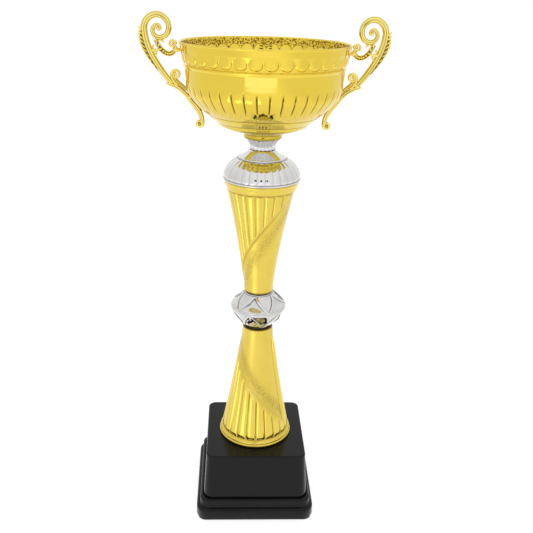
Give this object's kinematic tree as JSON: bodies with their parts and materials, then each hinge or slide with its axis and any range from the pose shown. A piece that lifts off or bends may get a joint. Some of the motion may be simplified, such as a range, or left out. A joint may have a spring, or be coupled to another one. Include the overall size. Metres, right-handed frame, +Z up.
{
  "type": "cup trophy",
  "caption": "Tall trophy: round gold bowl with two scroll handles on tapered fluted columns, a faceted silver ball, a silver dome and a stepped square black base.",
  "frame": {"origin": "middle of the underside of the base pad, on the surface that the trophy stands on", "axes": "+Z up along the tie rod, +X from the middle to the right-hand handle, -Y towards the front"},
  "size_m": [0.2356, 0.161, 0.5269],
  "materials": {
    "mirror_gold": "thin mirror-polished gold-coloured sheet metal with pressed ovals and flutes",
    "cast_gold": "bright gold metallised casting",
    "satin_gold": "satin gold metallised moulding with fine sparkle",
    "silver": "bright silver metallised moulding",
    "black_base": "black moulded plastic, semi-gloss",
    "zinc_steel": "zinc-plated steel fastener",
    "cement": "rough cast cement",
    "felt": "black felt"
  },
  "bodies": {
    "root": {"ball_lower_half": "silver", "ball_upper_half": "silver", "base_nut": "zinc_steel", "base_pad": "felt", "base_shell": "black_base", "base_washer": "zinc_steel", "base_weight": "cement", "bowl": "mirror_gold", "bowl_nut": "zinc_steel", "bowl_seat": "cast_gold", "bowl_washer": "zinc_steel", "handle_left": "cast_gold", "handle_right": "cast_gold", "handle_screw_left_lower": "zinc_steel", "handle_screw_left_upper": "zinc_steel", "handle_screw_right_lower": "zinc_steel", "handle_screw_right_upper": "zinc_steel", "handle_washer_left_lower": "zinc_steel", "handle_washer_left_upper": "zinc_steel", "handle_washer_right_lower": "zinc_steel", "handle_washer_right_upper": "zinc_steel", "lower_column": "satin_gold", "silver_dome": "silver", "silver_neck": "silver", "tie_rod": "zinc_steel", "upper_column": "satin_gold"}
  },
  "joints": []
}
